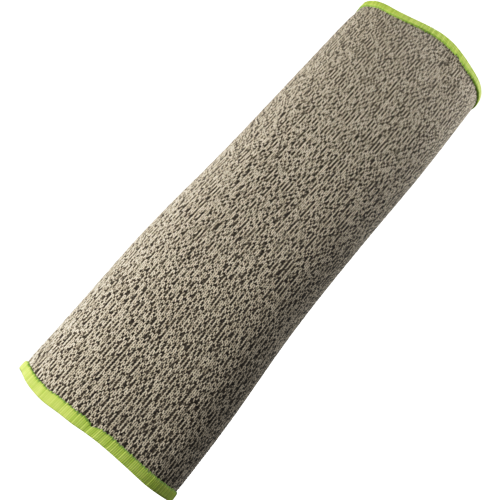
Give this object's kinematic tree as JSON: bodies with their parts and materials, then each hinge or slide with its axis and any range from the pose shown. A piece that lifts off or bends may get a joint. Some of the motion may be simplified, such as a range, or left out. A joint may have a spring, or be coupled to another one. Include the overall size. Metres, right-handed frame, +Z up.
{
  "type": "cut resistant sleeve",
  "caption": "Knitted protective arm sleeve of marled yarn, an open flattened tube with an overlock edging round each end.",
  "frame": {"origin": "on the surface that the sleeve lies on, under the middle of its box", "axes": "+X across the sleeve, +Y along it from the upper arm to the wrist, +Z up"},
  "size_m": [0.0848, 0.2572, 0.0479],
  "materials": {
    "marled_knit": "plain jersey knit of marled tan and near-black yarn, matt",
    "edging_thread": "lime green overlock thread, wrapped closely, soft sheen"
  },
  "bodies": {
    "root": {"knit_tube": "marled_knit", "upper_arm_edging": "edging_thread", "wrist_edging": "edging_thread"}
  },
  "joints": []
}
